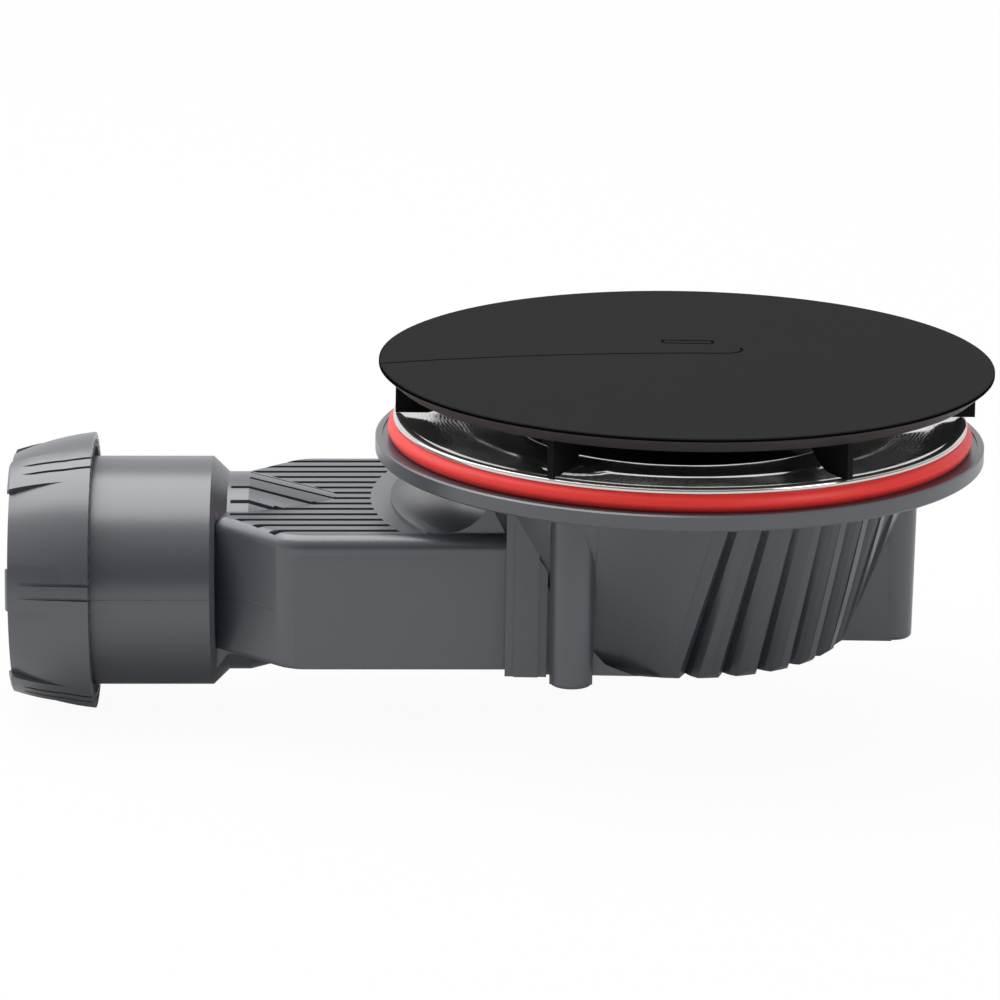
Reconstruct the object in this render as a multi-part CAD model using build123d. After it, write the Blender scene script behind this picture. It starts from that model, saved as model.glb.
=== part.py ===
from build123d import *
import os
from math import atan2, cos, degrees, hypot, radians, sin, tan

# Low shower trap for a 90 mm tray hole and a 40 mm waste pipe. Millimetres, +Z up.
# The bowl axis is Z, the seal seat on top of the bowl's flange is z = 0, and the outlet runs to -X.

# Fits between pieces
weld_gap = 0.1          # bowl to duct, all round the welded joint
slip_gap = 0.15         # loose pieces in their seats
screw_gap = 0.05        # screw shank to its pillar
thread_gap = 0.2        # nut to threaded end

# Cover radius, from which the flange, bowl mouth, screw circle and throat follow
cover_r = 57.5
cover_overhang = 0.5        # cover beyond the flange

# Bowl flange and bowl
flange_thickness = 2.8
flange_width = 11.5         # flange beyond the bowl wall
flange_rim_width = 1.3
flange_rim_height = 0.25
flange_edge = 0.3           # chamfer on the flange's outer edges
bowl_depth = 38.0       # seal seat to the underside
bowl_foot_r = 31.6
bowl_foot_chamfer = 1.2
bowl_wall = 1.5         # thinnest wall, behind the flutes
bowl_floor = 2.2

# Slanted flutes: each one steps back from a crest and rises to the next crest
flute_count = 7
flute_group_turn = 120.0
flute_first_top = 11.4      # degrees past the front, under the flange
flute_pitch_top = 7.85
flute_first_foot = -0.4     # degrees past the front, at the foot
flute_pitch_foot = 13.5
flute_step_top = 2.4        # how far a step goes back
flute_step_foot = 4.8
flute_step_draft = 19.0
flute_step_turn = 0.4       # share of the crest's angle by which the step turns with it
flute_land = 0.25           # share of the pitch left as a plain crest
flute_bulge = 0.1           # rise of the curved floor of a flute, as a share of its run
floor_facets = 3            # flats that make up such a curved floor
hollow_depth = 3.0          # wide hollow before the first crest, at the foot
hollow_fade = 0.2           # the same under the flange
hollow_start = 31.0         # degrees before the first crest
hollow_low = 19.0           # where it is deepest

# Screw pillars
pillar_count = 3
pillar_turn = 0.8
pillar_top_r = 4.35
pillar_foot_r = 3.95
pillar_foot_round = 0.8
screw_inset = 16.3          # screw circle inside the flange's edge
screw_r = 2.0
screw_length = 24.0
screw_head_r = 3.8
screw_head_height = 1.8
screw_slot_width = 0.9
screw_slot_depth = 0.8

# Throat of the bowl, where the lift-out funnel sits
throat_inset = 10.2         # throat inside the screw circle
throat_wall = 2.3
throat_depth = 7.0      # seal seat to the ledge
ledge_width = 2.7
ledge_thickness = 2.0

# Red seal and pressed steel flange
seal_height = 3.25
seal_margin = 1.9           # seal inside the flange's rim
seal_width = 7.3
seal_bulge = 0.9
seal_overlap = 0.1          # seal beyond the steel's edge
steel = 0.8
steel_dish_fall = 0.25      # fall of the outer band towards the step
steel_step_margin = 1.8     # step outside the screw circle
steel_step_height = 0.6
steel_step_width = 1.0
steel_lip_bend = 2.0
steel_lip_drop = 1.6        # how far the lip reaches below the seal seat
dimple_rise = 0.35          # underside of a dimple above its pillar
bead_width = 1.2
bead_height = 0.4

# Cover and its legs
cover_shift = 1.0           # the loose cover lies a little off centre
cover_top = 14.7
cover_edge_round = 0.4
cover_edge_height = 0.7
cover_skirt_inset = 2.8     # skirt's foot inside the edge
cover_skirt_height = 3.1
cover_skirt_width = 1.5
cover_plate = 2.2
leg_count = 6
leg_turn = 2.0
leg_inset = 0.4             # legs inside the skirt's foot
leg_thickness = 1.2
leg_length = 13.5
leg_foot_length = 6.0
crease_width = 0.6
crease_depth = 0.35
crease_start = (-58.0, -5.7)
crease_middle = (-28.0, 2.7)
crease_end = (7.8, 7.1)
crease_hook = (10.4, 11.3)
panel_width = 10.0
panel_depth = 2.8
panel_centre = (0.5, 15.5)

# Duct: a flat box that narrows to a round neck, measured outwards from the frame
frame_x = 32.07             # outer face of the frame, from the bowl axis
frame_depth = 7.7
frame_margin = 2.0          # frame beside the duct
frame_strip_width = 1.6     # set-back strips along the frame's two upright edges
frame_strip_depth = 0.4
outlet_axis_z = -26.3
outlet_fall = 1.0           # degrees that the outlet falls towards the pipe
socket_depth = 4.5
duct_half_width = 29.5
duct_top = 14.5             # above the outlet axis
duct_bottom = 11.1          # below the outlet axis
duct_wall = 2.2
duct_length = 54.1
duct_taper_length = 14.1
duct_end_half_width = 15.5
duct_top_round = 2.6
duct_shoulder_round = 8.0
duct_end_round = 0.8
duct_bottom_round = 1.0
side_panel_depth = 0.3
side_panel_drop = 3.8       # below the top of the duct
crown_run = 16.2            # length over which the crown rises out of the duct top
crown_foot_r = 9.5
saddle_inset = 3.0          # foot of the saddle inside the flange's edge
saddle_height = 6.5

# Ribbed top of the duct
groove_count = 14
groove_pitch = 3.85
groove_width = 1.5
crown_groove_width = 0.8
groove_depth = 1.3
groove_margin = 2.5         # plain land between the grooves and the edge
groove_run_on = 1.5         # outermost grooves past the duct's shoulder
groove_taper = 50.0
crown_plain = 4.0           # plain end of the crown beyond its middle grooves
rib_arc_gap = 0.5           # the ribs end on an arc round the bowl axis, outside the flange

# Neck, tube and threaded end
neck_inset = 2.9            # neck inside the tube
neck_length = 4.0
neck_setback = 2.1          # end of the plain neck before the duct's end
tube_over_socket = 1.3      # wall round the pipe's socket
tube_length = 22.25         # as far as the nut
tube_bevel = 0.9
tube_wall = 2.7
thread_height = 1.7         # thread outside the tube
thread_setback = 0.75       # thread inside the nut's rim
thread_length = 7.6
thread_run_in = 1.0

# Pipe socket and compression nut
pipe_r = 20.0
socket_clearance = 0.2
pipe_depth = 12.6           # stop to the threaded end
mouth_chamfer = 1.7
nut_length = 15.15
nut_wall = 2.8              # big rim outside the thread
nut_middle_draw = 1.4       # how far the nut draws in by the middle
nut_end_draw = 4.1          # the same at its end
nut_lip = 2.2
nut_hole_clearance = 0.5
seal_chamber_length = 4.6
seal_chamber_width = 1.6    # round the pipe
grip_count = 6
grip_turn = 6.0
grip_angle = 20.0
grip_length = 11.4
grip_sink = 0.15            # start of a pad under the nut's own curve
grip_rise = 1.2             # end of a pad over it
grip_over = 0.4             # pads stand past the nut's end
grip_slot_width = 0.6
grip_slot_depth = 0.7       # at the big rim, running out towards the pad's end
grip_slot_end = 2.2         # plain pad left beyond the slots
grip_slot_spread = 6.0
slip_ring_thickness = 1.0
pipe_seal_gap = 0.1

# Lift-out funnel, its sealing ring and the water cup
funnel_wall = 1.6
funnel_rim_height = 4.6
funnel_throat_drop = 9.0
dip_tube_r = 16.4
dip_tube_end = 29.5         # below the seal seat
oring_section_r = 1.3
oring_gap = 0.05
cup_top_r = 25.6
cup_foot_r = 23.0
cup_wall = 1.5
cup_rim = 13.0              # below the seal seat
cup_rib_count = 3
cup_rib_thickness = 1.6
cup_rib_drop = 3.0

overrun = 2.0               # how far cutting tools run past a face

# Values that follow from the sizes above
flange_r = cover_r - cover_overhang
flange_underside = -flange_thickness
bowl_underside = -bowl_depth
floor_top = bowl_underside + bowl_floor
bowl_top_r = flange_r - flange_width
screw_circle_r = flange_r - screw_inset
throat_r = screw_circle_r - throat_inset
seal_outer_r = flange_r - flange_rim_width - seal_margin
seal_inner_r = seal_outer_r - seal_width
steel_outer_r = seal_outer_r - seal_overlap
steel_step_r = screw_circle_r + steel_step_margin
steel_lip_r = throat_r      # inside of the turned-down lip
bead_foot_r = steel_outer_r - 2 * bead_width
cover_skirt_foot_r = cover_r - cover_skirt_inset
leg_outer_r = cover_skirt_foot_r - leg_inset
band_run = bead_foot_r - steel_step_r - steel_step_width
saddle_r = flange_r - saddle_inset
rib_arc_r = flange_r + rib_arc_gap
duct_shoulder = duct_length - duct_taper_length
groove_shoulder = duct_shoulder + groove_run_on
neck_end = duct_length - neck_setback
neck_start = neck_end - neck_length
tube_start = duct_length + tube_bevel
nut_start = tube_start + tube_length
nut_end = nut_start + nut_length
thread_start = nut_start + thread_setback
thread_end = thread_start + thread_length
socket_stop = thread_end - pipe_depth
socket_r = pipe_r + socket_clearance
tube_r = socket_r + tube_over_socket
neck_r = tube_r - neck_inset
thread_r = tube_r + thread_height
nut_rim_r = thread_r + nut_wall
nut_middle_r = nut_rim_r - nut_middle_draw
nut_end_r = nut_rim_r - nut_end_draw
seal_chamber_r = pipe_r + seal_chamber_width
duct_taper = degrees(atan2(duct_half_width - duct_end_half_width, duct_length - duct_shoulder))
outlet_place = Pos(-frame_x, 0, outlet_axis_z) * Rot(0, -outlet_fall, 0) * Rot(0, 0, 180)


def polar_point(radius, angle):
    return (radius * cos(radians(angle)), radius * sin(radians(angle)))


def outline_face(points):
    """Face in the XZ plane from straight-sided (x, z) points."""
    return Plane.XZ * make_face(Polyline(*points, close=True))


def turned(points):
    """Solid turned about Z from (radius, height) points."""
    return revolve(outline_face(points), Axis.Z)


def piped(points):
    """Solid turned about the outlet axis from (distance, radius) points."""
    return revolve(outline_face(points), Axis.X)


def ring_of(piece, count, turn=0.0):
    """Copies of a piece at equal turns about Z."""
    return [Rot(0, 0, turn + step * 360 / count) * piece for step in range(count)]


def bowl_radius(z):
    """Outer radius of the plain bowl at a height."""
    share = (flange_underside - z) / (flange_underside - bowl_underside)
    return bowl_top_r + (bowl_foot_r - bowl_top_r) * share


def faceted(curve, share=1):
    """Points along a curve that stand for it in flats."""
    count = floor_facets * share
    return [curve @ (step / count) for step in range(count + 1)]


def flute_cutter(index):
    """Wedge between two crests, from under the flange to below the foot."""
    sections = []
    levels = (
        (flange_underside, flute_first_top, flute_pitch_top, flute_step_top),
        (bowl_underside, flute_first_foot, flute_pitch_foot, flute_step_foot),
    )
    for z, first, pitch, step in levels:
        radius = bowl_radius(z)
        past_front = first + index * pitch
        angle = 270 + past_front
        crest = Vector(*polar_point(radius, angle))
        draft = radians(flute_step_draft - flute_step_turn * past_front)
        valley = crest + Vector(sin(draft), cos(draft)) * step
        land_angle = angle + pitch * (1 - flute_land)
        land = Vector(*polar_point(radius, land_angle))
        far = Vector(*polar_point(radius + 2 * overrun, land_angle))
        near = Vector(*polar_point(radius + 2 * overrun, angle))
        run = land - valley
        bulge = (valley + land) / 2 + Vector(run.Y, -run.X) * flute_bulge
        floor = faceted(ThreePointArc(valley, bulge, land))
        sections.append(Pos(0, 0, z) * make_face(Polyline(*floor, far, near, crest, close=True)))
    return loft(sections, ruled=True)


def hollow_cutter():
    """Wide hollow that runs from beside a pillar to the first crest and fades towards the flange."""
    sections = []
    levels = (
        (flange_underside, flute_first_top, hollow_fade),
        (bowl_underside, flute_first_foot, hollow_depth),
    )
    for z, first, depth in levels:
        radius = bowl_radius(z)
        crest_angle = 270 + first - flute_land * flute_pitch_foot
        start = polar_point(radius, 270 + first - hollow_start)
        low = polar_point(radius - depth, 270 + first - hollow_low)
        crest = polar_point(radius, crest_angle)
        far = polar_point(radius + 2 * overrun, crest_angle)
        near = polar_point(radius + 2 * overrun, 270 + first - hollow_start)
        floor = faceted(ThreePointArc(start, low, crest), 2)
        sections.append(Pos(0, 0, z) * make_face(Polyline(*floor, far, near, close=True)))
    return loft(sections, ruled=True)


def bowl_cone():
    """Flange and fluted bowl as one solid, not hollowed yet."""
    chamfer_top = bowl_underside + bowl_foot_chamfer
    body = turned([
        (0, bowl_underside),
        (bowl_foot_r - bowl_foot_chamfer, bowl_underside),
        (bowl_radius(chamfer_top), chamfer_top),
        (bowl_top_r, flange_underside),
        (flange_r - flange_edge, flange_underside),
        (flange_r, flange_underside + flange_edge),
        (flange_r, flange_rim_height - flange_edge),
        (flange_r - flange_edge, flange_rim_height),
        (flange_r - flange_rim_width, flange_rim_height),
        (flange_r - flange_rim_width, 0),
        (0, 0),
    ])
    cutters = [flute_cutter(index) for index in range(flute_count)] + [hollow_cutter()]
    cutters += [Rot(0, 0, flute_group_turn) * cutter for cutter in cutters]
    return body - cutters


def bowl_cavity():
    foot_r = bowl_radius(floor_top) - flute_step_foot - bowl_wall
    top_r = bowl_top_r - flute_step_top - bowl_wall
    return turned([(0, floor_top), (foot_r, floor_top), (top_r, flange_underside), (0, flange_underside)])


def duct_plan(inset, start):
    """Plan of the duct with its sides and end moved in by an inset."""
    shoulder = duct_shoulder - inset * tan(radians(duct_taper / 2))
    half = duct_half_width - inset
    end = duct_length - inset
    end_half = half - (end - shoulder) * tan(radians(duct_taper))
    return make_face(Polyline(
        (start, -half), (shoulder, -half), (end, -end_half),
        (end, end_half), (shoulder, half), (start, half), close=True,
    ))


def duct_block(inset, start):
    """Plain block with the duct's outline, all sides moved in by an inset."""
    height = duct_top + duct_bottom - 2 * inset
    return Pos(0, 0, -duct_bottom + inset) * extrude(duct_plan(inset, start), height)


def rounded_duct_block(inset, start):
    """Duct block with its rounded long edges and corners."""
    block = duct_block(inset, start)
    corners = [
        edge for edge in block.edges().filter_by(Axis.Z)
        if edge.center().X > start + overrun
    ]
    block = fillet([edge for edge in corners if edge.center().X > duct_shoulder + overrun], duct_end_round)
    shoulders = [
        edge for edge in block.edges().filter_by(Axis.Z)
        if start + overrun < edge.center().X < duct_shoulder + overrun
    ]
    block = fillet(shoulders, duct_shoulder_round)
    mouth = block.faces().sort_by(Axis.X)[0]
    mouth_edges = mouth.edges()
    top_edges = [edge for edge in block.faces().sort_by(Axis.Z)[-1].edges() if edge not in mouth_edges]
    block = fillet(top_edges, duct_top_round)
    mouth_edges = block.faces().sort_by(Axis.X)[0].edges()
    bottom_edges = [edge for edge in block.faces().sort_by(Axis.Z)[0].edges() if edge not in mouth_edges]
    return fillet(bottom_edges, duct_bottom_round)


def crown_points(inset):
    """Outline of the cone that runs from the neck down into the duct, closed on the axis."""
    slope = (neck_r - duct_top) / crown_run
    crown_foot = neck_start - (neck_r - crown_foot_r) / slope
    return [(crown_foot, 0), (crown_foot, crown_foot_r - inset), (neck_start, neck_r - inset)]


def build_trap_bowl():
    cavity = bowl_cavity()
    height = flange_underside - bowl_underside
    middle = (flange_underside + bowl_underside) / 2
    body = bowl_cone()

    # The duct's walls run on into the bowl, and the frame stands round their outer end.
    tunnel = Pos(-frame_x / 2, 0, middle) * Box(frame_x, 2 * duct_half_width, height)
    frame_half = duct_half_width + frame_margin
    frame = Pos(-frame_x + frame_depth / 2, 0, middle) * Box(frame_depth, 2 * frame_half, height)
    inside = turned([(0, bowl_underside), (bowl_foot_r - bowl_foot_chamfer, bowl_underside),
                     (bowl_radius(floor_top), floor_top), (bowl_top_r, flange_underside),
                     (0, flange_underside)])
    for side in (-1, 1):
        strip = Box(2 * frame_strip_width, 2 * frame_strip_depth, height)
        for x in (-frame_x, -frame_x + frame_depth):
            frame -= Pos(x, side * frame_half, middle) * strip
    body += [tunnel - inside, frame - inside]

    # Screw pillars: outside the bowl they are joined to its wall by a web.
    # The front web is radial, and the two beside the frame run straight across.
    web_length = screw_circle_r - bowl_foot_r / 2
    web_x = screw_circle_r - web_length / 2
    web = Pos(web_x, 0, middle) * Box(web_length, 2 * pillar_foot_r, height)
    body += Rot(0, 0, pillar_turn) * web
    for step in range(1, pillar_count):
        x, y = polar_point(screw_circle_r, pillar_turn + step * 360 / pillar_count)
        body += Pos(x, 3 * y / 4, middle) * Box(2 * pillar_foot_r, abs(y) / 2, height)
    body -= cavity
    pillar = Cone(pillar_foot_r, pillar_top_r, height)
    pillar = fillet(pillar.faces().sort_by(Axis.Z)[0].edges(), pillar_foot_round)
    body += ring_of(Pos(screw_circle_r, 0, middle) * pillar, pillar_count, pillar_turn)

    # Throat collar with the ledge that carries the funnel.
    ledge_underside = -throat_depth - ledge_thickness
    body += turned([
        (throat_r - ledge_width, ledge_underside),
        (throat_r + throat_wall, ledge_underside),
        (throat_r + throat_wall, flange_underside),
        (throat_r, flange_underside),
        (throat_r, -throat_depth),
        (throat_r - ledge_width, -throat_depth),
    ])
    lip_room_r = steel_lip_r + steel + slip_gap
    body -= turned([
        (0, overrun), (lip_room_r, overrun), (lip_room_r, -steel_lip_drop - slip_gap),
        (throat_r, -steel_lip_drop - slip_gap), (throat_r, -throat_depth), (0, -throat_depth),
    ])

    hole_depth = screw_length + overrun
    hole = Pos(screw_circle_r, 0, -hole_depth / 2) * Cylinder(screw_r + screw_gap, hole_depth)
    body -= ring_of(hole, pillar_count, pillar_turn)

    # Mouth for the duct: a socket for its end and the open way behind it.
    socket = rounded_duct_block(-weld_gap, -socket_depth - weld_gap)
    passage = duct_block(duct_wall, -frame_x) & Box(2 * frame_x, 4 * flange_r, 4 * flange_r)
    body -= [outlet_place * socket, outlet_place * passage]
    return body


def build_outlet_duct():
    block = rounded_duct_block(0, -socket_depth)
    panel_height = duct_top + duct_bottom - side_panel_drop
    for side in (-1, 1):
        panel = Box(duct_shoulder, 2 * side_panel_depth, panel_height)
        panel_z = duct_top - side_panel_drop - panel_height / 2
        block -= Pos(duct_shoulder / 2, side * duct_half_width, panel_z) * panel

    # The tube ends in a flat shoulder with a bevelled edge; the neck on it is no wider than the duct's end.
    outer = piped([
        (duct_length, 0), (duct_length, tube_r - tube_bevel), (tube_start, tube_r), (thread_start, tube_r),
        (thread_start + thread_run_in, thread_r), (thread_end - thread_run_in, thread_r),
        (thread_end, thread_r - thread_run_in / 2), (thread_end, 0),
    ])
    neck = piped(crown_points(0) + [(neck_end, neck_r), (tube_start, tube_r), (tube_start, 0)])
    neck &= Pos(tube_start / 2, 0, 0) * Box(
        4 * tube_start, 2 * duct_end_half_width - 4 * duct_end_round, 4 * tube_r)
    tube_bore_r = tube_r - tube_wall
    bore = piped(crown_points(duct_wall) + [
        (neck_end, neck_r - duct_wall), (tube_start, tube_bore_r), (socket_stop, tube_bore_r),
        (socket_stop, socket_r), (thread_end - mouth_chamfer, socket_r),
        (thread_end, socket_r + mouth_chamfer), (thread_end + overrun, socket_r + mouth_chamfer),
        (thread_end + overrun, 0),
    ])

    # The saddle rises from the duct top to the bowl wall in a hollow curve.
    saddle_foot = outlet_axis_z + duct_top
    saddle_top = saddle_foot + saddle_height
    wall_top = bowl_radius(saddle_top)
    hollow = ((saddle_r + 3 * wall_top) / 4, (3 * saddle_foot + saddle_top) / 4)
    saddle_base = saddle_foot - duct_wall / 2
    wall_base = bowl_radius(saddle_foot) - overrun
    edge_line = Polyline((wall_top - overrun, saddle_top), (wall_base, saddle_base),
                         (saddle_r, saddle_base), (saddle_r, saddle_foot))
    curve = ThreePointArc((saddle_r, saddle_foot), hollow, (wall_top, saddle_top))
    top_line = Line((wall_top, saddle_top), (wall_top - overrun, saddle_top))
    saddle = revolve(Plane.XZ * make_face(edge_line + curve + top_line), Axis.Z)
    reach = saddle_r - frame_x
    window = Pos(-frame_x - reach / 2, 0, saddle_foot)
    window *= Box(reach, 2 * (duct_half_width - duct_top_round), 4 * saddle_height)

    # Grooves follow the duct top and the crown at one depth.
    core = Pos(0, 0, -duct_bottom) * extrude(duct_plan(0, 0), duct_top + duct_bottom - groove_depth)
    core += piped(crown_points(groove_depth) + [(duct_length, neck_r - groove_depth), (duct_length, 0)])
    slots = []
    for index in range(groove_count):
        y = (index - (groove_count - 1) / 2) * groove_pitch
        climb = (hypot(duct_top, y) - duct_top) * crown_run / (neck_r - duct_top)
        crown_start = min(neck_start - crown_run + climb, duct_length - groove_margin)
        crown_end = neck_end - crown_plain if abs(y) < groove_pitch else duct_length
        slot = Pos(crown_start / 2, y, neck_r) * Box(crown_start, groove_width, 2 * neck_r)
        crown_slot = Box(crown_end - crown_start, crown_groove_width, 2 * neck_r)
        slots.append(slot + Pos((crown_start + crown_end) / 2, y, neck_r) * crown_slot)
    field_end = neck_end - groove_margin / 4
    field_half = duct_half_width - groove_margin
    field_taper = (field_end - groove_shoulder) * tan(radians(groove_taper))
    field_plan = make_face(Polyline(
        (groove_margin, -field_half), (groove_shoulder, -field_half), (field_end, field_taper - field_half),
        (field_end, field_half - field_taper), (groove_shoulder, field_half), (groove_margin, field_half),
        close=True,
    ))
    field = extrude(field_plan, 2 * neck_r)
    arc = Pos(-frame_x, 0, neck_r) * Cylinder(rib_arc_r, 4 * neck_r)

    body = block + outer + neck
    for slot in slots:
        body -= (slot & field) - arc - core
    body -= [duct_block(duct_wall, -socket_depth - overrun), bore]
    body = outlet_place * body
    bowl_envelope = turned([
        (0, bowl_underside), (bowl_foot_r + weld_gap, bowl_underside),
        (bowl_top_r + weld_gap, flange_underside), (0, flange_underside),
    ])
    return body + ((saddle & window) - bowl_envelope)


def nut_radius(u):
    """Radius of the nut's bulging outside at a distance along the outlet axis."""
    share = (u - nut_start) / nut_length
    slope = 4 * nut_middle_r - 3 * nut_rim_r - nut_end_r
    bend = 2 * (nut_rim_r + nut_end_r - 2 * nut_middle_r)
    return nut_rim_r + share * slope + share ** 2 * bend


def pad_radius(u):
    """Radius of a grip pad, which rises out of the nut towards its end."""
    share = (u - nut_end + grip_length) / grip_length
    return nut_radius(u) - grip_sink + share * (grip_sink + grip_rise)


def build_compression_nut():
    chamber_start = nut_end - nut_lip - seal_chamber_length
    middle = (nut_start + nut_end) / 2
    bore_r = thread_r + thread_gap
    hole_r = pipe_r + nut_hole_clearance
    inner = Polyline(
        (nut_end, nut_end_r), (nut_end, hole_r), (nut_end - nut_lip, hole_r),
        (nut_end - nut_lip, seal_chamber_r), (chamber_start, seal_chamber_r), (chamber_start, bore_r),
        (nut_start, bore_r), (nut_start, nut_rim_r),
    )
    outer = ThreePointArc((nut_start, nut_rim_r), (middle, nut_middle_r), (nut_end, nut_end_r))
    body = revolve(Plane.XZ * make_face(inner + outer), Axis.X)

    # Grip pads that rise out of the nut's side, each with two slots that run out from the big rim.
    pad_start = nut_end - grip_length
    pad_middle = nut_end - grip_length / 2
    pad_end = nut_end + grip_over
    pad_inner_r = seal_chamber_r + slip_gap
    sides = Polyline(
        (nut_end, pad_radius(nut_end)), (pad_end, pad_radius(nut_end) - 2 * grip_over),
        (pad_end, pad_inner_r), (chamber_start, pad_inner_r), (chamber_start, bore_r),
        (pad_start, bore_r), (pad_start, pad_radius(pad_start)),
    )
    top = ThreePointArc(
        (pad_start, pad_radius(pad_start)), (pad_middle, pad_radius(pad_middle)),
        (nut_end, pad_radius(nut_end)),
    )
    pad = revolve(Plane.XZ * make_face(sides + top), Axis.X, revolution_arc=grip_angle)
    pad = Rot(-grip_angle / 2, 0, 0) * pad
    slot_end = nut_end - grip_slot_end
    slot_middle = (nut_start + slot_end) / 2
    slot_face = outline_face([
        (nut_start - overrun, nut_rim_r - grip_slot_depth), (nut_start, nut_rim_r - grip_slot_depth),
        (slot_middle, nut_radius(slot_middle) - grip_slot_depth / 2), (slot_end, pad_radius(slot_end)),
        (slot_end, nut_rim_r + overrun), (nut_start - overrun, nut_rim_r + overrun),
    ])
    slot = extrude(slot_face, grip_slot_width / 2, both=True)
    for step in range(grip_count):
        turn = Rot(grip_turn - 90 + step * 360 / grip_count, 0, 0)
        body += turn * pad
        for side in (-1, 1):
            body -= turn * Rot(side * grip_slot_spread / 2, 0, 0) * slot
    return outlet_place * body


def build_slip_ring():
    start = nut_end - nut_lip - slip_ring_thickness
    inner_r = pipe_r + nut_hole_clearance / 2
    outer_r = seal_chamber_r - slip_gap
    end = nut_end - nut_lip
    return outlet_place * piped([(start, inner_r), (end, inner_r), (end, outer_r), (start, outer_r)])


def build_pipe_seal():
    end = nut_end - nut_lip - slip_ring_thickness
    inner_r = pipe_r + pipe_seal_gap
    outer_r = seal_chamber_r - slip_gap
    nose = thread_end + pipe_seal_gap - (socket_r + mouth_chamfer - outer_r)
    nose_tip = nose - (outer_r - inner_r) + pipe_seal_gap
    return outlet_place * piped([
        (nose_tip, inner_r), (end, inner_r), (end, outer_r), (nose, outer_r),
        (nose_tip, inner_r + pipe_seal_gap),
    ])


def build_tray_seal():
    top_r = seal_outer_r - steel / 4
    inner_height = seal_height - steel_dish_fall * (bead_foot_r - seal_inner_r) / band_run
    straight = Polyline((seal_outer_r, 0), (seal_inner_r, 0), (seal_inner_r, inner_height),
                        (bead_foot_r, seal_height), (top_r, seal_height))
    bulge = ThreePointArc((top_r, seal_height), (seal_outer_r + seal_bulge, seal_height / 2),
                          (seal_outer_r, 0))
    return revolve(Plane.XZ * make_face(straight + bulge), Axis.Z)


def steel_levels():
    """Heights of the steel's underside: outer band, inner end of that band, inner ring."""
    band_outer = seal_height
    band_inner = seal_height - steel_dish_fall
    return band_outer, band_inner, band_inner - steel_step_height


def build_clamp_flange():
    band_outer, band_inner, ring = steel_levels()
    bend_r = steel_lip_r + steel_lip_bend
    bend_share = steel_lip_bend * (1 - cos(radians(45)))
    lip_foot = -steel_lip_drop
    skin_bend = steel_lip_bend - steel
    skin_share = skin_bend * (1 - cos(radians(45)))
    lip_back_r = steel_lip_r + steel
    underside = Polyline(
        (lip_back_r, ring - skin_bend), (lip_back_r, lip_foot), (steel_lip_r, lip_foot),
        (steel_lip_r, ring + steel - steel_lip_bend),
    )
    upper_bend = ThreePointArc(
        (steel_lip_r, ring + steel - steel_lip_bend),
        (steel_lip_r + bend_share, ring + steel - bend_share),
        (bend_r, ring + steel),
    )
    top = Polyline(
        (bend_r, ring + steel), (steel_step_r, ring + steel),
        (steel_step_r + steel_step_width, band_inner + steel),
        (bead_foot_r, band_outer + steel),
        (steel_outer_r - bead_width, band_outer + steel + bead_height),
        (steel_outer_r - bead_width / 3, band_outer + steel + bead_height),
        (steel_outer_r, band_outer + steel),
        (steel_outer_r, band_outer + steel / 4), (steel_outer_r - steel / 4, band_outer),
        (bead_foot_r, band_outer),
        (steel_step_r + steel_step_width, band_inner), (steel_step_r, ring), (bend_r, ring),
    )
    lower_bend = ThreePointArc(
        (bend_r, ring), (lip_back_r + skin_share, ring - skin_share), (lip_back_r, ring - skin_bend))
    body = revolve(Plane.XZ * make_face(underside + upper_bend + top + lower_bend), Axis.Z)

    # Countersunk dimples reach down to just above the pillars.
    seat_r = screw_r + 2 * screw_gap
    floor_z = dimple_rise + steel
    rise = ring + steel - floor_z
    mouth_r = seat_r + (screw_head_r - screw_r) / screw_head_height * rise
    back_height = ring + steel / 2 - dimple_rise
    back = Pos(screw_circle_r, 0, dimple_rise + back_height / 2)
    back *= Cone(seat_r + steel, mouth_r + steel / 2, back_height)
    cut_height = rise + overrun
    cut_r = seat_r + (screw_head_r - screw_r) / screw_head_height * cut_height
    cut = Pos(screw_circle_r, 0, floor_z + cut_height / 2) * Cone(seat_r, cut_r, cut_height)
    hole = Pos(screw_circle_r, 0, floor_z) * Cylinder(seat_r, 2 * overrun + 2 * steel)
    body += ring_of(back, pillar_count, pillar_turn)
    body -= ring_of(cut, pillar_count, pillar_turn) + ring_of(hole, pillar_count, pillar_turn)
    return body


def build_flange_screws():
    head_foot = dimple_rise + steel + screw_gap
    head = Pos(0, 0, head_foot + screw_head_height / 2) * Cone(screw_r, screw_head_r, screw_head_height)
    shank = Pos(0, 0, head_foot - screw_length / 2) * Cylinder(screw_r, screw_length)
    slot_z = head_foot + screw_head_height
    slot = Pos(0, 0, slot_z) * Box(2 * screw_head_r + overrun, screw_slot_width, 2 * screw_slot_depth)
    screw = Pos(screw_circle_r, 0, 0) * (head + shank - slot)
    return Compound(children=ring_of(screw, pillar_count, pillar_turn))


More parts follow.
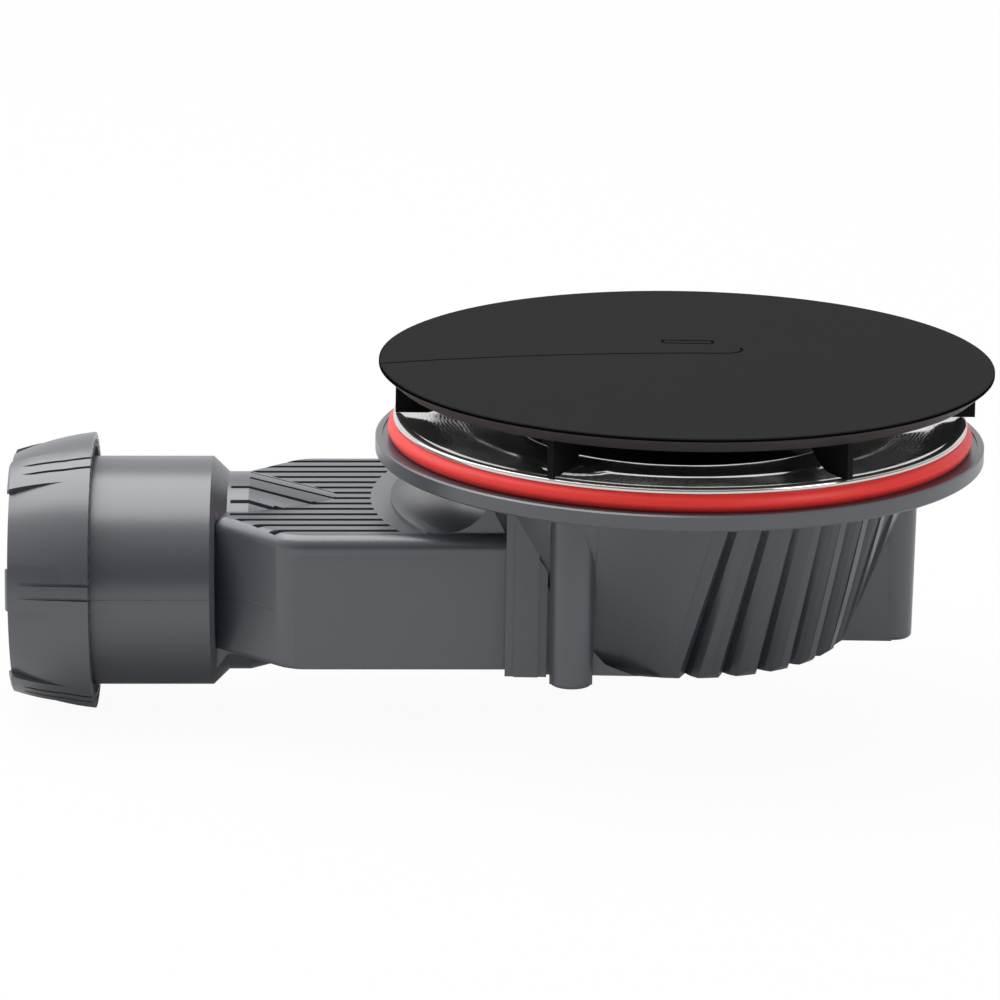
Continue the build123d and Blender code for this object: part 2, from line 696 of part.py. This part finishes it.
def build_cover():
    underside = cover_top - cover_plate
    skirt_foot = cover_top - cover_skirt_height
    edge_z = cover_top - cover_edge_round
    edge_share = cover_edge_round * (1 - cos(radians(45)))
    top_edge = ThreePointArc(
        (cover_r, edge_z), (cover_r - edge_share, cover_top - edge_share),
        (cover_r - cover_edge_round, cover_top))
    rest = Polyline(
        (cover_r - cover_edge_round, cover_top), (0, cover_top), (0, underside),
        (cover_skirt_foot_r - cover_skirt_width, underside),
        (cover_skirt_foot_r - cover_skirt_width, skirt_foot), (cover_skirt_foot_r, skirt_foot),
        (cover_r, cover_top - cover_edge_height), (cover_r, edge_z))
    body = revolve(Plane.XZ * make_face(top_edge + rest), Axis.Z)

    # Legs: upright plates whose flat foot stands on the steel's bead.
    band_outer, band_inner, ring = steel_levels()
    foot_r = leg_outer_r - leg_foot_length
    foot = band_outer + steel + bead_height + slip_gap
    inner_r = leg_outer_r - leg_length
    straight = Polyline((foot_r, foot), (leg_outer_r, foot), (leg_outer_r, underside),
                        (inner_r, underside), (inner_r, skirt_foot))
    curve_mid = (inner_r + 0.42 * (foot_r - inner_r), foot + 0.3 * (skirt_foot - foot))
    curve = ThreePointArc((inner_r, skirt_foot), curve_mid, (foot_r, foot))
    leg = extrude(Plane.XZ * make_face(straight + curve), leg_thickness / 2, both=True)
    body += ring_of(leg, leg_count, leg_turn)

    # Shallow curved crease and a plain sunken panel in the top.
    crease_line = ThreePointArc(crease_start, crease_middle, crease_end)
    hook = TangentArc(crease_end, crease_hook, tangent=crease_line % 1)
    side = (crease_line % 0).rotate(Axis.Z, 90) * (crease_width / 2)
    start = Vector(*crease_start)
    section_plane = Plane(origin=(start.X, start.Y, cover_top), x_dir=side, z_dir=crease_line % 0)
    path = Pos(0, 0, cover_top) * (crease_line + hook)
    crease = sweep(section_plane * Rectangle(crease_width, 2 * crease_depth), path=path)
    panel = Pos(*panel_centre, cover_top) * Box(panel_width, panel_depth, 2 * crease_depth)
    inlay = Pos(*panel_centre, cover_top) * Box(
        panel_width - 2 * crease_width, panel_depth - 2 * crease_width, 2 * crease_depth)
    return Pos(cover_shift, 0, 0) * (body - crease - (panel - inlay))


def build_dip_funnel():
    rim_r = throat_r - slip_gap
    foot = -throat_depth
    rim_top = foot + funnel_rim_height
    groove_z = (foot + rim_top) / 2
    groove_r = throat_r - 2 * oring_section_r
    half_groove = oring_section_r + oring_gap
    ledge_inner = throat_r - ledge_width - slip_gap
    cone_foot = foot - funnel_throat_drop
    inner_r = dip_tube_r - funnel_wall
    return turned([
        (groove_r - funnel_wall, rim_top), (rim_r, rim_top), (rim_r, groove_z + half_groove),
        (groove_r, groove_z + half_groove), (groove_r, groove_z - half_groove),
        (rim_r, groove_z - half_groove), (rim_r, foot), (ledge_inner, foot),
        (dip_tube_r, cone_foot), (dip_tube_r, -dip_tube_end), (inner_r, -dip_tube_end),
        (inner_r, cone_foot + funnel_wall / 2), (groove_r - 2 * funnel_wall, foot + funnel_wall),
    ])


def build_funnel_oring():
    groove_z = -throat_depth + funnel_rim_height / 2
    ring_r = throat_r - oring_section_r
    return Pos(0, 0, groove_z) * Torus(ring_r, oring_section_r - oring_gap)


def build_trap_cup():
    foot = floor_top
    inner_floor = foot + cup_wall
    cup = turned([
        (0, foot), (cup_foot_r, foot), (cup_top_r, -cup_rim), (cup_top_r - cup_wall, -cup_rim),
        (cup_foot_r - cup_wall, inner_floor), (0, inner_floor),
    ])
    # Ribs centre the dip tube and carry its end.
    inner_r = dip_tube_r + slip_gap
    step_r = dip_tube_r - funnel_wall
    rib_top = -cup_rim - cup_rib_drop
    rib = extrude(outline_face([
        (step_r, inner_floor - cup_wall / 2), (cup_foot_r - cup_wall / 2, inner_floor - cup_wall / 2),
        (cup_top_r - cup_wall, rib_top), (inner_r, rib_top), (inner_r, -dip_tube_end - slip_gap),
        (step_r, -dip_tube_end - slip_gap),
    ]), cup_rib_thickness / 2, both=True)
    return cup + ring_of(rib, cup_rib_count, 180 / cup_rib_count)


builders = {
    "trap_bowl": build_trap_bowl,
    "outlet_duct": build_outlet_duct,
    "compression_nut": build_compression_nut,
    "slip_ring": build_slip_ring,
    "pipe_seal": build_pipe_seal,
    "tray_seal": build_tray_seal,
    "clamp_flange": build_clamp_flange,
    "flange_screws": build_flange_screws,
    "dip_funnel": build_dip_funnel,
    "funnel_oring": build_funnel_oring,
    "trap_cup": build_trap_cup,
    "cover": build_cover,
}

os.makedirs("parts", exist_ok=True)
for node, build in builders.items():
    export_step(build(), f"parts/{node}.step")
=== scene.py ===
import bpy
from math import pi, radians
from mathutils import Matrix, Vector


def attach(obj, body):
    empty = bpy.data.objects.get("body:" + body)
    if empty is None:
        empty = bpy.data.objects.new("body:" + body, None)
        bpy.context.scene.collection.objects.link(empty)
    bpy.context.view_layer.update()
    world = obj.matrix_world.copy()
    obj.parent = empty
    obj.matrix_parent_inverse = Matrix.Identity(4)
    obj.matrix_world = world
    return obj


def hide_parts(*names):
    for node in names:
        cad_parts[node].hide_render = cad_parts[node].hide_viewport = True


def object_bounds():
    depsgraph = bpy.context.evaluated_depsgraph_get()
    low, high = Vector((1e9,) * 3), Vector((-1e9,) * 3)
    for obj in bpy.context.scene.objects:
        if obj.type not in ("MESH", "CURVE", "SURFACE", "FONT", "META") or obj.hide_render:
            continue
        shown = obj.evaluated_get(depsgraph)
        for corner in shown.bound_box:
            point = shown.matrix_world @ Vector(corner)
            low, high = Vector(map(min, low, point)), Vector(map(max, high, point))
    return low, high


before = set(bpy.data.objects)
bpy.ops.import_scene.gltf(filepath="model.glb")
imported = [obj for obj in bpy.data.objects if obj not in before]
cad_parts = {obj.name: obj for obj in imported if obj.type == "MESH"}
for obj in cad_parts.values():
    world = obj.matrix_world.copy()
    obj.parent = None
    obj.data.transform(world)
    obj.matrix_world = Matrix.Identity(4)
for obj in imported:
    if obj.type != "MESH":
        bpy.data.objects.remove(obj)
cad_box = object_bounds()


# Trap bowl and outlet duct: two injection mouldings in anthracite polypropylene, welded together at the frame.
# Their skin is satin with a very fine grain, and a little uneven in tone and gloss where the melt has flowed.
def feed(tree, node, inputs):
    """Link each input to the socket given for it, or set it to the plain value."""
    for name, value in inputs.items():
        if isinstance(value, bpy.types.NodeSocket):
            tree.links.new(value, node.inputs[name])
        else:
            node.inputs[name].default_value = value


def add_node(tree, kind, inputs, **settings):
    """Add a node to a tree, make its settings and feed its inputs."""
    node = tree.nodes.new(kind)
    for name, value in settings.items():
        setattr(node, name, value)
    feed(tree, node, inputs)
    return node


def add_math(tree, operation, first, second):
    """Add a math node and return its result."""
    return add_node(tree, "ShaderNodeMath", {0: first, 1: second}, operation=operation).outputs[0]


def moulded_skin_group():
    """Node group for a moulded skin: its tone and gloss drift together, and its grain is a height."""
    group = bpy.data.node_groups.new("moulded_skin", "ShaderNodeTree")
    for name, direction, kind in (
        ("Base", "INPUT", "NodeSocketColor"),
        ("Gloss", "INPUT", "NodeSocketFloat"),
        ("Grain Scale", "INPUT", "NodeSocketFloat"),
        ("Tone Spread", "INPUT", "NodeSocketFloat"),
        ("Color", "OUTPUT", "NodeSocketColor"),
        ("Roughness", "OUTPUT", "NodeSocketFloat"),
        ("Height", "OUTPUT", "NodeSocketFloat"),
    ):
        group.interface.new_socket(name, in_out=direction, socket_type=kind)
    given = add_node(group, "NodeGroupInput", {})
    place = add_node(group, "ShaderNodeTexCoord", {}).outputs["Object"]
    grain = add_node(group, "ShaderNodeTexNoise", {
        "Vector": place, "Scale": given.outputs["Grain Scale"], "Detail": 3.0})
    flow = add_node(group, "ShaderNodeTexNoise", {"Vector": place, "Scale": 45.0, "Detail": 2.0})
    centred = add_math(group, "SUBTRACT", flow.outputs["Fac"], 0.5)
    spread = add_math(group, "MULTIPLY", centred, given.outputs["Tone Spread"])
    lift = add_math(group, "ADD", spread, 1.0)
    tone = add_node(group, "ShaderNodeVectorMath", {0: given.outputs["Base"], "Scale": lift}, operation="SCALE")
    add_node(group, "NodeGroupOutput", {
        "Color": tone.outputs[0],
        "Roughness": add_math(group, "MULTIPLY", given.outputs["Gloss"], lift),
        "Height": grain.outputs["Fac"],
    })
    return group


moulded_skin = moulded_skin_group()


def moulded_material(name, color, roughness, specular, grain_scale, grain_depth, tone_spread):
    material = bpy.data.materials.new(name)
    material.use_nodes = True
    tree = material.node_tree
    skin = add_node(tree, "ShaderNodeGroup", {
        "Base": (*color, 1.0),
        "Gloss": roughness,
        "Grain Scale": grain_scale,
        "Tone Spread": tone_spread,
    }, node_tree=moulded_skin)
    bump = add_node(tree, "ShaderNodeBump", {
        "Height": skin.outputs["Height"], "Strength": 0.35, "Distance": grain_depth})
    feed(tree, tree.nodes["Principled BSDF"], {
        "Base Color": skin.outputs["Color"],
        "Roughness": skin.outputs["Roughness"],
        "Specular IOR Level": specular,
        "Normal": bump.outputs["Normal"],
    })
    return material


def dress(node, material):
    """Give a CAD node its material."""
    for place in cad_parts[node].material_slots:
        place.material = material


anthracite = moulded_material("anthracite_plastic", color=(0.046, 0.051, 0.062), roughness=0.30, specular=1.0,
                              grain_scale=2600.0, grain_depth=0.00004, tone_spread=0.12)
dress("trap_bowl", anthracite)
dress("outlet_duct", anthracite)

# Parting line: the fine ridge that the two halves of the mould leave along the tube and the duct's slanted sides.
# It is part of the duct moulding, stands about a tenth of a millimetre proud and runs level with the outlet axis.
outlet_start = (-0.03207, 0, -0.0263)
outlet_fall = radians(1.0)
outlet_place = (Matrix.Translation(outlet_start) @ Matrix.Rotation(-outlet_fall, 4, "Y")
                @ Matrix.Rotation(pi, 4, "Z"))
outlet_sides = {"front": 1, "back": -1}
tube_radius, tube_start, tube_end = 0.0215, 0.0552, 0.0772
slant_inner, slant_outer = (0.0535, 0.0161), (0.0432, 0.02632)     # along the outlet axis and out from it
ridge_thickness, ridge_height, ridge_bevel = 0.00024, 0.00036, 0.00008


def select_only(piece):
    bpy.ops.object.select_all(action="DESELECT")
    piece.select_set(True)
    bpy.context.view_layer.objects.active = piece


def settle(piece):
    """Put a piece that was made along the outlet axis in its place, and keep the place in its mesh."""
    select_only(piece)
    piece.matrix_world = outlet_place @ piece.matrix_world
    bpy.ops.object.transform_apply(location=True, rotation=True, scale=True)
    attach(piece, "root")


def block(name, size, middle, turn):
    """Block in the anthracite plastic, turned about the upright, with its place kept in its mesh."""
    bpy.ops.object.select_all(action="DESELECT")
    bpy.ops.mesh.primitive_cube_add(size=1.0, location=middle)
    piece = bpy.context.object
    piece.name = name
    piece.scale = size
    piece.rotation_euler = (0, 0, turn)
    bpy.ops.object.transform_apply(location=True, rotation=True, scale=True)
    piece.data.materials.append(anthracite)
    return piece


def parting_ridge(name, start, end):
    """Thin ridge between two points, with its edges bevelled."""
    run = Vector(end) - Vector(start)
    ridge = block(name, (run.length, ridge_thickness, ridge_height), (Vector(start) + Vector(end)) / 2,
                  run.to_2d().angle_signed(Vector((1, 0))))
    bpy.ops.object.mode_set(mode="EDIT")
    bpy.ops.mesh.select_all(action="SELECT")
    bpy.ops.mesh.bevel(offset=ridge_bevel, segments=2, affect="EDGES")
    bpy.ops.object.mode_set(mode="OBJECT")
    settle(ridge)


for label, side in outlet_sides.items():
    parting_ridge("tube_parting_" + label, (tube_start, side * tube_radius, 0), (tube_end, side * tube_radius, 0))
    parting_ridge("duct_parting_" + label, (slant_inner[0], side * slant_inner[1], 0),
                  (slant_outer[0], side * slant_outer[1], 0))

# Duct's end: the walls that close the corner between each slanted side and the flat shoulder of the tube.
# They are one moulding with the duct, so they lie flush with the side and the shoulder and carry the same skin.
# The solid of the duct has a narrow opening in that corner, which they cover.
end_size, end_along, end_out, end_turn = (0.0034, 0.0006, 0.0192), 0.05281, 0.01631, radians(-45)
shoulder_radius, shoulder_thickness, shoulder_along, shoulder_inner = 0.0194, 0.0006, 0.05442, 0.0148


def shoulder_wall(name, side):
    """The part of the shoulder's disc that lies outside the duct's end on one side."""
    bpy.ops.object.select_all(action="DESELECT")
    bpy.ops.mesh.primitive_cylinder_add(vertices=96, radius=shoulder_radius, depth=shoulder_thickness,
                                        location=(shoulder_along, 0, 0), rotation=(0, radians(90), 0))
    wall = bpy.context.object
    wall.name = name
    bpy.ops.object.transform_apply(location=True, rotation=True, scale=True)
    bpy.ops.object.mode_set(mode="EDIT")
    bpy.ops.mesh.select_all(action="SELECT")
    bpy.ops.mesh.bisect(plane_co=(0, side * shoulder_inner, 0), plane_no=(0, side, 0), use_fill=True,
                        clear_inner=True)
    bpy.ops.object.mode_set(mode="OBJECT")
    wall.data.materials.append(anthracite)
    settle(wall)


for label, side in outlet_sides.items():
    settle(block("duct_end_" + label, end_size, (end_along, side * end_out, 0), side * end_turn))
    shoulder_wall("tube_shoulder_" + label, side)

# Foot of the bowl's front hollow: the low sill where the hollow runs out into the bowl's underside.
# It is part of the bowl moulding, spun through a short arc from a section with a sloping top.
# The solid of the bowl has a small gap beside the front pillar, which it covers.
sill_section = [(27.5, -37.98), (30.36, -37.98), (30.5, -37.6), (28.5, -36.3), (27.5, -36.3)]
sill_start, sill_turn = radians(266.0), radians(25.0)


def spun(name, section, steps, start=0.0, turn=2 * pi, shift=0.0, ends="NOTHING"):
    """Spin a closed section, in millimetres from an upright axis and above the seal seat, about that axis.

    The axis stands shift metres along X from the bowl's, and the spin runs clockwise as seen from above.
    """
    bpy.ops.object.select_all(action="DESELECT")
    bpy.ops.mesh.primitive_circle_add(vertices=len(section), radius=0.01, fill_type=ends)
    piece = bpy.context.object
    piece.name = name
    axis_foot = Vector((shift, 0, 0))
    for corner, (radius, height) in zip(piece.data.vertices, section):
        corner.co = axis_foot + Matrix.Rotation(start, 3, "Z") @ Vector((radius / 1000, 0, height / 1000))
    bpy.ops.object.mode_set(mode="EDIT")
    bpy.ops.mesh.select_all(action="SELECT")
    bpy.ops.mesh.spin(steps=steps, angle=turn, center=axis_foot, axis=(0, 0, 1))
    bpy.ops.mesh.select_all(action="SELECT")
    bpy.ops.mesh.remove_doubles(threshold=1e-6)
    bpy.ops.mesh.normals_make_consistent(inside=False)
    bpy.ops.object.mode_set(mode="OBJECT")
    return piece


sill = spun("hollow_sill", sill_section, steps=12, start=sill_start, turn=sill_turn, ends="NGON")
bpy.ops.object.shade_smooth_by_angle(angle=radians(30))
sill.data.materials.append(anthracite)
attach(sill, "root")

# Water cup and dip funnel: thin black mouldings that lift out, with a soft black ring in the funnel's groove.
# They stay in the dark under the cover, so the skin is plain and matt.
inner_black = moulded_material("inner_black_plastic", color=(0.030, 0.030, 0.031), roughness=0.45, specular=0.5,
                               grain_scale=2600.0, grain_depth=0.00004, tone_spread=0.12)
black_rubber = moulded_material("black_rubber", color=(0.014, 0.014, 0.014), roughness=0.62, specular=0.35,
                                grain_scale=1800.0, grain_depth=0.00005, tone_spread=0.15)
dress("dip_funnel", inner_black)
dress("trap_cup", inner_black)
dress("funnel_oring", black_rubber)

# Tray seal: a soft red rubber ring moulded with a round outer bulge, pressed between the flange and the steel.
# Its skin is satin, with a fine powdery grain.
red_rubber = moulded_material("red_rubber", color=(0.80, 0.036, 0.030), roughness=0.42, specular=0.35,
                              grain_scale=1500.0, grain_depth=0.00004, tone_spread=0.10)
dress("tray_seal", red_rubber)

# Clamp flange and screws: stainless sheet, pressed and then polished to a mirror, with three countersunk screws.
# The pressing leaves slow waves in the sheet, and the polishing leaves faint rings round the axis.
steel = bpy.data.materials.new("polished_steel")
steel.use_nodes = True
steel_tree = steel.node_tree
steel_place = add_node(steel_tree, "ShaderNodeTexCoord", {}).outputs["Object"]
rings = add_node(steel_tree, "ShaderNodeTexWave", {
    "Vector": steel_place, "Scale": 420.0, "Distortion": 6.0, "Detail": 3.0,
}, wave_type="RINGS", rings_direction="Z")
haze = add_node(steel_tree, "ShaderNodeMapRange", {
    "Value": rings.outputs["Fac"], "To Min": 0.05, "To Max": 0.13})
waves = add_node(steel_tree, "ShaderNodeTexNoise", {"Vector": steel_place, "Scale": 55.0, "Detail": 1.0})
wave_bump = add_node(steel_tree, "ShaderNodeBump", {
    "Height": waves.outputs["Fac"], "Strength": 0.6, "Distance": 0.0005})
feed(steel_tree, steel_tree.nodes["Principled BSDF"], {
    "Base Color": (0.66, 0.65, 0.63, 1.0),
    "Metallic": 0.9,
    "Roughness": haze.outputs["Result"],
    "Normal": wave_bump.outputs["Normal"],
})
dress("clamp_flange", steel)
dress("flange_screws", steel)

# The sheet's section: from the lip's foot up over the bend, across the soft step and the dish to the rolled bead,
# and back underneath. Its long runs are divided, so that the dimples can be pressed into them.
sheet_section = [
    (30.5, -1.6), (30.5, 2.1), (30.58, 2.45), (30.8, 2.75), (31.2, 2.95), (31.8, 3.02), (32.4, 3.087),
    (33.2, 3.14), (34.4, 3.18), (36.0, 3.2), (39.8, 3.205), (40.4, 3.235), (40.8, 3.275), (41.3, 3.332),
    (41.8, 3.389), (42.2, 3.427), (42.8, 3.47), (44.5, 3.575), (47.0, 3.74), (49.2, 3.9), (50.8, 4.01),
    (51.4, 4.10), (51.8, 4.24), (52.2, 4.37), (52.6, 4.44), (53.0, 4.45), (53.35, 4.38), (53.6, 4.22),
    (53.7, 4.0), (53.7, 3.5), (53.55, 3.3), (53.2, 3.25), (51.0, 3.25), (46.0, 3.08), (43.5, 2.9),
    (41.3, 2.7), (39.8, 2.55), (38.3, 2.41), (33.5, 2.4), (32.0, 2.25), (31.4, 1.9), (31.3, 1.2), (31.3, -1.6),
]
longest_step = 1.0
divided_section = []
for number, (radius, height) in enumerate(sheet_section):
    far_radius, far_height = sheet_section[(number + 1) % len(sheet_section)]
    run_length = ((far_radius - radius) ** 2 + (far_height - height) ** 2) ** 0.5
    step_count = max(1, round(run_length / longest_step))
    for step in range(step_count):
        along = step / step_count
        divided_section.append((radius + along * (far_radius - radius), height + along * (far_height - height)))
sheet = spun("steel_sheet", divided_section, steps=240)

# A soft dimple is pressed round each screw, and the hole under its head is punched out.
screw_count, screw_circle, screw_turn = 3, 0.0407, 0.8
dimple_floor, dimple_fall, dimple_slope = 0.0041, 0.0005, 0.0032
punch_radius, punch_length = 0.0034, 0.02
for turn in range(screw_count):
    axis = Vector((screw_circle, 0, 0))
    axis.rotate(Matrix.Rotation(radians(screw_turn + 360 / screw_count * turn), 3, "Z"))
    select_only(sheet)
    bpy.ops.object.mode_set(mode="EDIT")
    bpy.ops.mesh.select_all(action="DESELECT")
    bpy.ops.object.mode_set(mode="OBJECT")
    for corner in sheet.data.vertices:
        corner.select = (corner.co.xy - axis.xy).length < dimple_floor
    bpy.ops.object.mode_set(mode="EDIT")
    bpy.ops.transform.translate(value=(0, 0, -dimple_fall), use_proportional_edit=True,
                                proportional_edit_falloff="SMOOTH", proportional_size=dimple_slope)
    bpy.ops.object.mode_set(mode="OBJECT")
    bpy.ops.object.select_all(action="DESELECT")
    bpy.ops.mesh.primitive_cylinder_add(vertices=48, radius=punch_radius, depth=punch_length, location=axis)
    punch = bpy.context.object
    hole = sheet.modifiers.new("hole", "BOOLEAN")
    hole.operation = "DIFFERENCE"
    hole.object = punch
    bpy.context.view_layer.objects.active = sheet
    bpy.ops.object.modifier_apply(modifier="hole")
    select_only(punch)
    bpy.ops.object.delete()
select_only(sheet)
bpy.ops.object.shade_smooth_by_angle(angle=radians(40))
sheet.data.materials.clear()
sheet.data.materials.append(steel)
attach(sheet, "root")
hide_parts("clamp_flange")

# Cover: a matt black moulding with a bevelled edge, a shallow crease and six legs that stand on the steel's bead.
# The fine spark-eroded texture leaves almost no gloss on it.
cover_black = moulded_material("cover_black_plastic", color=(0.013, 0.013, 0.013), roughness=0.70, specular=0.02,
                               grain_scale=3400.0, grain_depth=0.00003, tone_spread=0.06)
dress("cover", cover_black)

# Skirt of the cover: the conical band under the top plate, which the mould leaves glossier than the plate.
# Its black is also painted lighter than the plate's black, a painted reflection of the pale floor below the band.
# A narrow near-black, matt ring runs round between the plate and the band: a painted shadow for the shade in the
# recess under the plate's edge.
painted_gap_shadow = moulded_material("painted_gap_shadow", color=(0.002, 0.002, 0.002), roughness=0.9, specular=0.0,
                             grain_scale=3400.0, grain_depth=0.00003, tone_spread=0.06)
# The skirt's black is painted lighter than the plate's, as painted reflection of the floor; its higher gloss is
# its own finish.
skirt_black_painted_lighter = moulded_material("skirt_black_plastic_painted_lighter", color=(0.028, 0.028, 0.029), roughness=0.5, specular=0.35,
                               grain_scale=3400.0, grain_depth=0.00002, tone_spread=0.06)
cover_shift = 0.001
gap_shadow_section = [(57.0, 14.1), (57.53, 14.1), (57.53, 14.5), (57.0, 14.5)]
skirt_section = [(57.3, 13.95), (57.3, 14.08), (57.54, 14.08), (57.54, 13.98), (54.76, 11.62), (54.5, 11.75)]


def cover_band(name, section, material):
    """Thin ring round the cover's axis."""
    band = spun(name, section, steps=180, shift=cover_shift)
    bpy.ops.object.shade_smooth_by_angle(angle=radians(40))
    band.data.materials.append(material)
    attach(band, "root")


# The first band is the painted shadow under the plate's edge.
cover_band("cover_gap_shadow", gap_shadow_section, painted_gap_shadow)
# The second band is the skirt, with its black painted lighter than the plate's.
cover_band("cover_skirt", skirt_section, skirt_black_painted_lighter)

# Compression nut with its slip ring and rubber ring: the nut is moulded in the same plastic as the duct.
# The slip ring is hard black plastic, and the ring that grips the pipe is soft rubber.
dress("compression_nut", anthracite)
dress("slip_ring", inner_black)
dress("pipe_seal", black_rubber)

# Locking teeth: a ring of small blunt teeth moulded on the end face of the nut's big rim.
# One tooth is shaped from a block, narrowed towards its tip and copied round the outlet axis.
tooth_count = 54
tooth_size, tooth_along, tooth_out = (0.0002, 0.0013, 0.0014), 0.07721, 0.02410
tip_along, tip_narrowing, tooth_bevel = 0.07711, (1, 0.55, 0.75), 0.00004
teeth = block("nut_teeth", tooth_size, (tooth_along, 0, tooth_out), 0)
bpy.ops.object.mode_set(mode="EDIT")
bpy.ops.mesh.select_all(action="DESELECT")
bpy.ops.object.mode_set(mode="OBJECT")
for face in teeth.data.polygons:
    face.select = face.normal.x < -0.9
bpy.ops.object.mode_set(mode="EDIT")
bpy.ops.transform.resize(value=tip_narrowing, center_override=(tip_along, 0, tooth_out))
bpy.ops.mesh.select_all(action="SELECT")
bpy.ops.mesh.bevel(offset=tooth_bevel, segments=2, affect="EDGES")
bpy.ops.mesh.select_all(action="SELECT")
bpy.ops.mesh.spin(steps=tooth_count - 1, dupli=True, angle=2 * pi * (tooth_count - 1) / tooth_count,
                  center=(0, 0, 0), axis=(1, 0, 0))
bpy.ops.mesh.select_all(action="SELECT")
bpy.ops.mesh.normals_make_consistent(inside=False)
bpy.ops.object.mode_set(mode="OBJECT")
settle(teeth)

# Floor: a pale sheet just under the lowest point of the nut, wide enough to fill the view.
# To the camera it is nearly white, but it throws no more light on the trap than its grey paint, and mirrors
# show it only faintly brighter than that.
floor_width, floor_gap = 12.0, 0.0002
camera_share, mirror_share = 0.95, 0.05
lowest = cad_box[0][2]
bpy.ops.object.select_all(action="DESELECT")
bpy.ops.mesh.primitive_plane_add(size=floor_width, location=(0, 0, lowest - floor_gap))
floor = bpy.context.object
floor.name = "floor"
bpy.ops.object.transform_apply(location=True, rotation=True, scale=True)
floor_paint = bpy.data.materials.new("floor_paint")
floor_paint.use_nodes = True
floor_tree = floor_paint.node_tree
paint = floor_tree.nodes["Principled BSDF"]
feed(floor_tree, paint, {"Base Color": (0.56, 0.56, 0.56, 1.0), "Roughness": 0.9, "Specular IOR Level": 0.1})
white = add_node(floor_tree, "ShaderNodeEmission", {"Strength": 1.0})
ray = add_node(floor_tree, "ShaderNodeLightPath", {})
seen = add_math(floor_tree, "MAXIMUM", ray.outputs["Is Camera Ray"], ray.outputs["Is Transmission Ray"])
lightened = add_math(floor_tree, "MULTIPLY", seen, camera_share)
mirrored = add_math(floor_tree, "MULTIPLY", ray.outputs["Is Glossy Ray"], mirror_share)
white_share = add_math(floor_tree, "MAXIMUM", lightened, mirrored)
blend = add_node(floor_tree, "ShaderNodeMixShader", {0: white_share, 1: paint.outputs[0], 2: white.outputs[0]})
feed(floor_tree, floor_tree.nodes["Material Output"], {"Surface": blend.outputs[0]})
floor.data.materials.append(floor_paint)

# Studio: a white room behind and above the trap that darkens towards the camera.
# A broad soft box hangs above, and smaller ones stand at the back left and at the front right.
bright_side = (-0.3, 0.55, 0.78)
lit_point = Vector((-0.03, 0, 0))
world = bpy.data.worlds.new("studio_room")
world.use_nodes = True
bpy.context.scene.world = world
room_tree = world.node_tree
direction = add_node(room_tree, "ShaderNodeTexCoord", {})
facing = add_node(room_tree, "ShaderNodeVectorMath", {
    0: direction.outputs["Generated"], 1: bright_side}, operation="DOT_PRODUCT")
shade = add_node(room_tree, "ShaderNodeMapRange", {
    "Value": facing.outputs["Value"], "From Min": -0.35, "From Max": 0.6, "To Min": 0.08, "To Max": 1.0})
feed(room_tree, room_tree.nodes["Background"], {
    "Color": (1.0, 1.0, 1.0, 1.0), "Strength": shade.outputs["Result"]})


def soft_box(name, place, width, power):
    """Square lamp of a width in metres and a power in watts, turned towards the trap."""
    lamp = bpy.data.lights.new(name, "AREA")
    lamp.shape = "RECTANGLE"
    lamp.size = width
    lamp.size_y = width
    lamp.energy = power
    body = bpy.data.objects.new(name, lamp)
    bpy.context.scene.collection.objects.link(body)
    body.location = place
    body.rotation_euler = (lit_point - Vector(place)).to_track_quat("-Z", "Y").to_euler()


soft_box("top_box", place=(-0.3, 0.14, 0.9), width=1.0, power=11.0)
soft_box("left_box", place=(-0.9, 0.35, 0.45), width=0.6, power=2.0)
soft_box("right_box", place=(0.85, -0.7, 0.45), width=0.5, power=4.5)

# Camera: a long lens a little above the trap, square to the outlet.
# Its distance, height and slight roll were fitted to the photograph.
camera_distance = 1.3
camera_height = radians(15.1)
camera_roll = radians(0.98)
look_at = Vector((-0.03344, 0.0, -0.0127))
eye = bpy.data.cameras.new("eye")
eye.lens = 249.1
eye.sensor_width = 36.0
eye.clip_end = 50.0
camera = bpy.data.objects.new("eye", eye)
bpy.context.scene.collection.objects.link(camera)
tilt = Matrix.Rotation(radians(90) - camera_height, 3, "X") @ Matrix.Rotation(camera_roll, 3, "Z")
camera.rotation_euler = tilt.to_euler()
camera.location = look_at + tilt @ Vector((0, 0, camera_distance))
bpy.context.scene.camera = camera
bpy.context.scene.view_settings.view_transform = "Standard"
